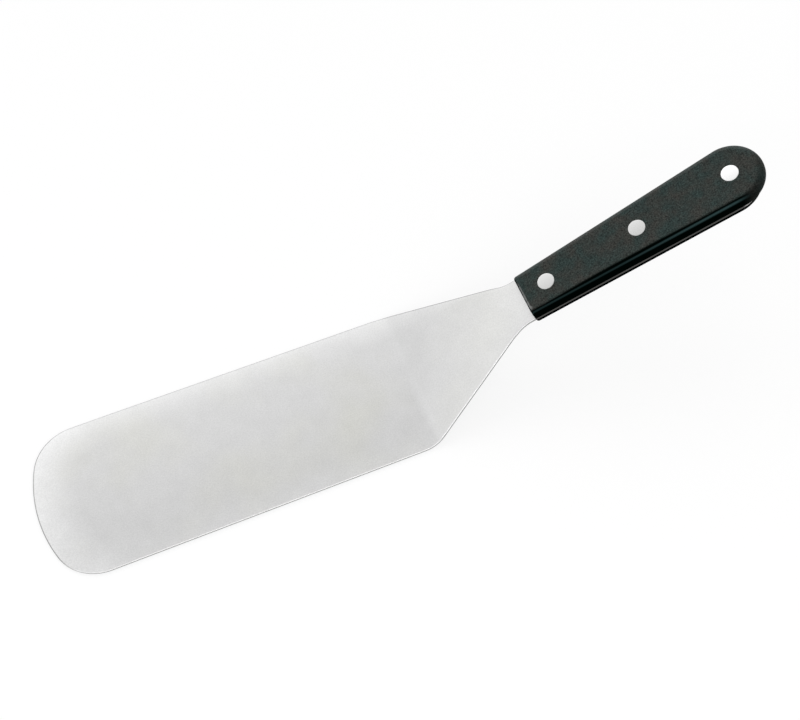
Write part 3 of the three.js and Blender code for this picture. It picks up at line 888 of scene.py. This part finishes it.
def moulded_acetal(finishes):
    """Black acetal from a mould: matte flat faces, smooth rounded sides, painted shade and a painted
    highlight line towards -Y.
    """
    material, tree = blank_material("moulded_black_acetal")
    coordinates = add(tree, "TexCoord")
    place, normal = coordinates.outputs["Object"], coordinates.outputs["Normal"]
    # One long side, towards -Y, and the front are smoother and painted black as painted shade. The
    # measure is how far a surface faces there, less how far it faces the matte round end.
    sideways = add(tree, "VectorMath", DOT, {"Vector": normal, "Vector_001": (0.0, -1.0, 0.0)})
    back = add(tree, "VectorMath", DOT, {"Vector": normal, "Vector_001": HANDLE_RUN})
    frontwards = add(tree, "Math", TIMES, {"Value": back, "Value_001": -1.0})
    towards = add(tree, "Math", LARGER, {"Value": sideways, "Value_001": frontwards})
    endwards = add(tree, "Math", {**TIMES, "use_clamp": True}, {"Value": back, "Value_001": END_WEIGHT})
    dark_side = add(tree, "Math", LESS, {"Value": towards, "Value_001": endwards})
    # Along the handle, the painted shade reaches less far up near the front and towards the rear rivet,
    # the round end stays partly matte, and the painted highlight line grows and then fades.
    along = add(tree, "VectorMath", DOT, {"Vector": place, "Vector_001": HANDLE_RUN})
    front_low, rear_low, end_share, strength, fading = (
        add(tree, "MapRange", settings, {
            "Value": along, "From Min": rivet_at + places[0], "From Max": rivet_at + places[1],
            "To Min": values[0], "To Max": values[1],
        })
        for settings, rivet_at, (places, values) in (
            (None, FRONT_RIVET_AT, FRONT_REACH),
            (None, REAR_RIVET_AT, REAR_REACH),
            (SMOOTH, REAR_RIVET_AT, END_MATTE),
            (SMOOTH, FRONT_RIVET_AT, HIGHLIGHT_GROWTH),
            (SMOOTH, REAR_RIVET_AT, HIGHLIGHT_FADING),
        )
    )
    low = add(tree, "Math", PLUS, {"Value": front_low, "Value_001": rear_low})
    # The change from matte to the painted shade is narrow along the side and broad round the end.
    shade_at = add(tree, "Math", PLUS, {"Value": low, "Value_001": SHADE_FROM})
    matte_at = add(tree, "Math", PLUS, {"Value": low, "Value_001": MATTE_FROM})
    shade_from = add(tree, "Math", TIMES_PLUS, {
        "Value": endwards, "Value_001": END_MOVES_SHADE, "Value_002": shade_at,
    })
    matte_from = add(tree, "Math", TIMES_PLUS, {
        "Value": endwards, "Value_001": END_MOVES_MATTE, "Value_002": matte_at,
    })
    face = add(tree, "MapRange", SMOOTH, {
        "Value": dark_side, "From Min": shade_from, "From Max": matte_from, "To Min": end_share,
    })
    # Handling leaves greenish and brownish patches some millimetres wide on the matte face.
    patches = add(tree, "TexNoise", inputs={
        "Vector": place, "Scale": 1 / ACETAL_PATCH, "Detail": SOFT_DETAIL,
    })
    patched = add(tree, "MapRange", inputs={
        "Value": patches, "From Min": PATCHES_WARM[0], "From Max": PATCHES_WARM[1],
    })
    tint = add(tree, "Mix", COLOURS, {
        "Factor": patched, "A": finishes.acetal_cool, "B": finishes.acetal_warm,
    })
    # The mould's spark-eroded texture is finer than a pixel, so its pits are drawn about half a
    # millimetre wide, where they show as a mottle.
    pits = add(tree, "TexNoise", inputs={
        "Vector": place, "Scale": 1 / ACETAL_PIT, "Detail": FINE_DETAIL, "Roughness": PIT_ROUGHNESS,
    })
    mottle = add(tree, "MapRange", inputs={
        "Value": pits, "From Min": MOTTLE_SHOWS[0], "From Max": MOTTLE_SHOWS[1],
        "To Min": MOTTLE_TONES[0], "To Max": MOTTLE_TONES[1],
    })
    speckled = add(tree, "Mix", SHADED, {"Factor": 1.0, "A": tint, "B": mottle})
    # A painted highlight: a narrow lighter line along the rounded edge towards -Y. It is fainter towards
    # the front and dies out at the round end.
    width = add(tree, "Math", TIMES_PLUS, {
        "Value": strength, "Value_001": HIGHLIGHT_WIDENING, "Value_002": HIGHLIGHT_WIDTH,
    })
    beside = add(tree, "Math", LESS, {"Value": dark_side, "Value_001": HIGHLIGHT_AT})
    away = add(tree, "Math", {"operation": "ABSOLUTE"}, {"Value": beside})
    line = add(tree, "MapRange", SMOOTH, {"Value": away, "From Min": width, "From Max": 0.0})
    faded = add(tree, "Math", TIMES, {"Value": strength, "Value_001": fading})
    highlighted = add(tree, "Math", TIMES, {"Value": line, "Value_001": faded})
    side = add(tree, "Mix", COLOURS, {
        "Factor": highlighted, "A": finishes.acetal_shaded_side, "B": finishes.acetal_highlight_line,
    })
    moulded = add(tree, "Mix", COLOURS, {"Factor": face, "A": side, "B": speckled})
    # The front's top edge is scuffed grey in stretches of a millimetre or two, partly a painted
    # highlight.
    scuffs = add(tree, "TexNoise", inputs={
        "Vector": place, "Scale": 1 / ACETAL_SCUFF, "Detail": SOFT_DETAIL,
    })
    broken = add(tree, "MapRange", inputs={
        "Value": scuffs, "From Min": SCUFFS_SHOW[0], "From Max": SCUFFS_SHOW[1],
    })
    worn_edge_highlight = add(tree, "Attribute", {"attribute_name": "worn_edge_highlight"}).outputs["Fac"]
    worn = add(tree, "Math", TIMES, {"Value": worn_edge_highlight, "Value_001": broken})
    base = add(tree, "Mix", COLOURS, {"Factor": worn, "A": moulded, "B": finishes.acetal_worn_highlight})
    roughness = add(tree, "MapRange", inputs={
        "Value": face, "To Min": finishes.side_roughness, "To Max": finishes.face_roughness,
    })
    # Hands have smoothed the rounded edge on the other long side, so it catches the light behind it.
    smoothed = add(tree, "MapRange", SMOOTH, {
        "Value": sideways, "From Min": SMOOTHED_EDGE[0], "From Max": SMOOTHED_EDGE[1],
        "To Min": finishes.acetal_gloss, "To Max": finishes.acetal_sheen,
    })
    # The painted shade also takes most of the gloss off the side towards -Y and the front.
    gloss = add(tree, "Math", TIMES, {"Value": face, "Value_001": smoothed})
    depth = add(tree, "Math", TIMES, {"Value": pits, "Value_001": face})
    bump = add(tree, "Bump", inputs={"Height": depth, "Strength": 1.0, "Distance": ACETAL_PIT_DEPTH})
    surface = add(tree, "BsdfPrincipled", inputs={
        "Base Color": base, "Roughness": roughness, "Normal": bump, "IOR": ACETAL_IOR,
        "Specular IOR Level": gloss,
    })
    add(tree, "OutputMaterial", inputs={"Surface": surface})
    return material


def ground_rivet_steel(finishes):
    """Stainless rivet heads ground flush on a belt that ran along the handle."""
    material, tree = blank_material("ground_rivet_steel")
    place = add(tree, "TexCoord").outputs["Object"]
    # Belt scratches: long along the handle, narrow across it, drawn wide enough to show.
    turned_place = add(tree, "Mapping", inputs={
        "Vector": place, "Rotation": (0.0, HANDLE_ANGLE, 0.0),
        "Scale": (1 / SCRATCH_LENGTH, 1 / SCRATCH_WIDTH, 1 / SCRATCH_LENGTH),
    })
    scratches = add(tree, "TexNoise", inputs={
        "Vector": turned_place, "Scale": 1.0, "Detail": FINE_DETAIL,
    })
    # One head, the rear one, is painted brighter as a painted highlight.
    head_highlight = add(tree, "Attribute", {"attribute_name": "head_highlight"}).outputs["Fac"]
    base = add(tree, "Mix", COLOURS, {
        "Factor": head_highlight, "A": finishes.rivet, "B": finishes.rivet_highlight,
    })
    roughness = add(tree, "MapRange", inputs={
        "Value": scratches, "To Min": finishes.rivet_roughness - ROUGHNESS_SPREAD,
        "To Max": finishes.rivet_roughness + ROUGHNESS_SPREAD,
    })
    bump = add(tree, "Bump", inputs={"Height": scratches, "Strength": 1.0, "Distance": SCRATCH_DEPTH})
    surface = add(tree, "BsdfPrincipled", inputs={
        "Base Color": base, "Metallic": 1.0, "Roughness": roughness, "Normal": bump,
    })
    add(tree, "OutputMaterial", inputs={"Surface": surface})
    return material


def white_paper(stage):
    """White paper sweep, quite matte, lifted towards white where the camera or a reflection sees it."""
    material, tree = blank_material("white_paper_sweep")
    paper = add(tree, "BsdfDiffuse", inputs={"Color": stage.floor})
    white = add(tree, "Emission", inputs={"Strength": 1.0})
    path = add(tree, "LightPath")
    mirrored = add(tree, "Math", LARGER, {
        "Value": path.outputs["Is Glossy Ray"], "Value_001": path.outputs["Is Transmission Ray"],
    })
    seen = add(tree, "Math", LARGER, {"Value": path.outputs["Is Camera Ray"], "Value_001": mirrored})
    lift = add(tree, "Math", TIMES, {"Value": seen, "Value_001": stage.floor_lift})
    surface = add(tree, "MixShader", inputs={"Fac": lift, "Shader": paper, "Shader_001": white})
    add(tree, "OutputMaterial", inputs={"Surface": surface})
    return material


# Stage


def floor_sheet(stage):
    """The floor: a flat square just under the blade's underside."""
    half = stage.floor_size / 2
    corners = np.array([(-half, -half), (half, -half), (half, half), (-half, half)])
    mesh = bpy.data.meshes.new("floor")
    mesh.from_pydata(np.column_stack([corners, np.full(4, -stage.floor_gap)]), [], [(0, 1, 2, 3)])
    floor = bpy.data.objects.new("floor", mesh)
    bpy.context.scene.collection.objects.link(floor)
    mesh.materials.append(white_paper(stage))


def studio_world(stage):
    """A light tent: bright at the back, along Y, and dim on the camera's side and near the floor."""
    world = bpy.data.worlds.new("light_tent")
    world.use_nodes = True
    tree = world.node_tree
    tree.nodes.clear()
    direction = add(tree, "SeparateXYZ", inputs={"Vector": add(tree, "TexCoord").outputs["Generated"]})
    backwards = add(tree, "MapRange", SMOOTH, {
        "Value": direction.outputs["Y"], "From Min": BACK_FROM[0], "From Max": BACK_FROM[1],
    })
    above = add(tree, "MapRange", SMOOTH, {
        "Value": direction.outputs["Z"], "From Min": BACK_ABOVE[0], "From Max": BACK_ABOVE[1],
        "To Min": stage.low_back,
    })
    back = add(tree, "Math", TIMES, {"Value": backwards, "Value_001": above})
    strength = add(tree, "Math", TIMES_PLUS, {
        "Value": back, "Value_001": stage.back_tent - stage.front_tent, "Value_002": stage.front_tent,
    })
    # Above the far edge of the floor a camera sees plain white.
    seen = add(tree, "Math", LARGER, {
        "Value": strength, "Value_001": add(tree, "LightPath").outputs["Is Camera Ray"],
    })
    light = add(tree, "Background", inputs={"Color": (1.0, 1.0, 1.0, 1.0), "Strength": seen})
    add(tree, "OutputWorld", inputs={"Surface": light})
    bpy.context.scene.world = world


def turned_towards(towards):
    """A rotation that points a lamp, which shines along its own -Z, from the given direction."""
    return Vector(towards).to_track_quat("Z", "Y").to_matrix().to_4x4()


def lamp(name, kind, towards, settings):
    """A lamp that shines on the object from the given direction, a lamp distance away."""
    light = bpy.data.lights.new(name, kind)
    for key, value in settings.items():
        setattr(light, key, value)
    shining = bpy.data.objects.new(name, light)
    bpy.context.scene.collection.objects.link(shining)
    place = LAMP_AIM + LAMP_DISTANCE * unit(np.array(towards))
    shining.matrix_world = Matrix.Translation(place) @ turned_towards(towards)


def softbox(name, towards, extent, level):
    """A rectangular softbox of the given brightness: its watts are pi times brightness times area."""
    width, height = extent
    lamp(name, "AREA", towards, {
        "shape": "RECTANGLE", "size": width, "size_y": height, "energy": math.pi * level * width * height,
    })


def photograph_camera(stage):
    """A camera on the photograph's line of sight, turned about it by the roll."""
    sight = np.array([
        math.sin(stage.azimuth) * math.cos(stage.elevation),
        -math.cos(stage.azimuth) * math.cos(stage.elevation),
        math.sin(stage.elevation),
    ])
    level = np.array([math.cos(stage.azimuth), math.sin(stage.azimuth), 0.0])
    up = np.cross(sight, level)
    right = math.cos(stage.roll) * level + math.sin(stage.roll) * up
    rolled_up = math.cos(stage.roll) * up - math.sin(stage.roll) * level
    camera = bpy.data.cameras.new("camera")
    camera.lens = stage.lens
    camera.sensor_width = SENSOR_WIDTH
    camera.clip_start = NEAREST
    holder = bpy.data.objects.new("camera", camera)
    bpy.context.scene.collection.objects.link(holder)
    turn = Matrix(np.column_stack([right, rolled_up, sight]).tolist()).to_4x4()
    holder.matrix_world = Matrix.Translation(stage.place) @ turn
    bpy.context.scene.camera = holder


# Operators


class SPATULA_OT_blade(bpy.types.Operator):
    """Builds the bent steel blank: blade, ramp, neck and tang"""

    bl_idname = "spatula.blade"
    bl_label = "Blade and Tang"

    def execute(self, context):
        settings = context.scene.spatula
        blade, handle = settings.blade, settings.handle
        rivet_at = np.array(blade.flat_length + blade.ramp_length + handle.neck_to_front_rivet)
        offset = bend(blade, handle, rivet_at, np.array(0.0), np.array(0.0)) - FRONT_RIVET
        if np.linalg.norm(offset) > FRAME_TOLERANCE:
            raise RuntimeError("The blade's sizes don't bring the tang to the frame's front rivet")
        surface, marks = blade_surface(blade, handle)
        piece = piece_from("steel_blank", [surface], marks)
        cut(piece, rivet_seats(settings))
        dress(piece, "blade_and_tang", satin_stainless(settings.finishes, handle))
        return {"FINISHED"}


class SPATULA_OT_scales(bpy.types.Operator):
    """Builds the two moulded handle scales with their rivet seats"""

    bl_idname = "spatula.scales"
    bl_label = "Handle Scales"

    def execute(self, context):
        settings = context.scene.spatula
        material = moulded_acetal(settings.finishes)
        for name, side in SIDES.items():
            surface, marks = scale_surface(settings.handle, side)
            piece = piece_from(f"{name}_grip", [surface], marks)
            cut(piece, rivet_seats(settings))
            dress(piece, f"{name}_scale", material)
        return {"FINISHED"}


class SPATULA_OT_rivets(bpy.types.Operator):
    """Builds the tube and pin halves of the three rivets"""

    bl_idname = "spatula.rivets"
    bl_label = "Rivets"

    def execute(self, context):
        settings = context.scene.spatula
        material = ground_rivet_steel(settings.finishes)
        tube_half, pin_half, _ = rivet_profiles(settings.rivets)
        for name in RIVETS:
            for half, profile in (("tube", tube_half), ("pin", pin_half)):
                surface = turned(profile, rivet_offset(name))
                marks = {"head_highlight": np.full(surface.shape[:2], RIVET_HIGHLIGHT[name])}
                piece = piece_from(f"{name}_{half}", [surface], marks)
                dress(piece, f"{name}_rivet_{half}", material)
        return {"FINISHED"}


class SPATULA_OT_stage(bpy.types.Operator):
    """Sets up the floor, the light and the camera"""

    bl_idname = "spatula.stage"
    bl_label = "Stage and Camera"

    def execute(self, context):
        stage = context.scene.spatula.stage
        floor_sheet(stage)
        studio_world(stage)
        lamp("key", "SUN", KEY_FROM, {"energy": stage.key, "angle": KEY_SPREAD})
        softbox("front_strip", STRIP_FROM, STRIP_SIZE, stage.front_strip)
        softbox("left_softbox", LEFT_FROM, LEFT_SIZE, stage.left)
        photograph_camera(stage)
        context.scene.view_settings.view_transform = "Standard"
        return {"FINISHED"}


class SPATULA_PT_sidebar(bpy.types.Panel):
    """Lists the spatula's settings and the operators that build it"""

    bl_idname = "SPATULA_PT_sidebar"
    bl_label = "Lasagna Spatula"
    bl_space_type = "VIEW_3D"
    bl_region_type = "UI"
    bl_category = "Spatula"

    def draw(self, context):
        settings = context.scene.spatula
        for operator in OPERATORS:
            self.layout.operator(operator.bl_idname)
        for group in ("blade", "handle", "rivets", "finishes", "stage"):
            box = self.layout.box()
            box.label(text=group.capitalize())
            for name in getattr(settings, group).__annotations__:
                box.prop(getattr(settings, group), name)


OPERATORS = (SPATULA_OT_blade, SPATULA_OT_scales, SPATULA_OT_rivets, SPATULA_OT_stage)
GROUPS = (BladeSizes, HandleSizes, RivetSizes, Finishes, StageSettings, SpatulaSettings)
CLASSES = (*GROUPS, *OPERATORS, SPATULA_PT_sidebar)


def register():
    """Registers the classes and the settings."""
    for item in CLASSES:
        bpy.utils.register_class(item)
    bpy.types.Scene.spatula = PointerProperty(type=SpatulaSettings)


def unregister():
    """Takes the settings and the classes away again."""
    del bpy.types.Scene.spatula
    for item in reversed(CLASSES):
        bpy.utils.unregister_class(item)


def main():
    """Builds everything in order."""
    register()
    bpy.ops.spatula.blade()
    bpy.ops.spatula.scales()
    bpy.ops.spatula.rivets()
    bpy.ops.spatula.stage()


if __name__ == "__main__":
    main()
